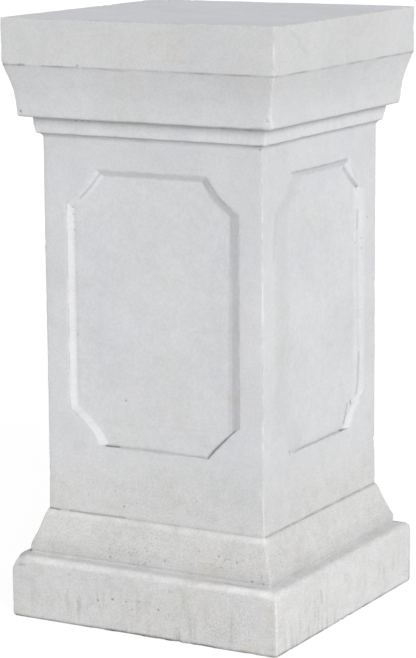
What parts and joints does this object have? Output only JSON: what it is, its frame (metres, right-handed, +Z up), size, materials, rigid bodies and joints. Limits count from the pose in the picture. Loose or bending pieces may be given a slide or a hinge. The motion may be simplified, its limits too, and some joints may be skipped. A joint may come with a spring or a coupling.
{
  "type": "square column pedestal",
  "caption": "Square pedestal with a plinth, a sloped base, a shaft with sunk cut-corner panels and a flared cap whose flat top carries a pot, a bust or a vase.",
  "frame": {"origin": "centre of the underside, on the floor", "axes": "+Z up the pedestal, +X and +Y out through two neighbouring faces; the wide face in the picture is -Y and the narrow one is +X"},
  "size_m": [0.381, 0.381, 0.762],
  "materials": {
    "cast_stone": "matte off-white cast stone with fine pits, pale worn arrises and faint grey and yellowish staining"
  },
  "bodies": {
    "root": {"pedestal": "cast_stone"}
  },
  "joints": []
}
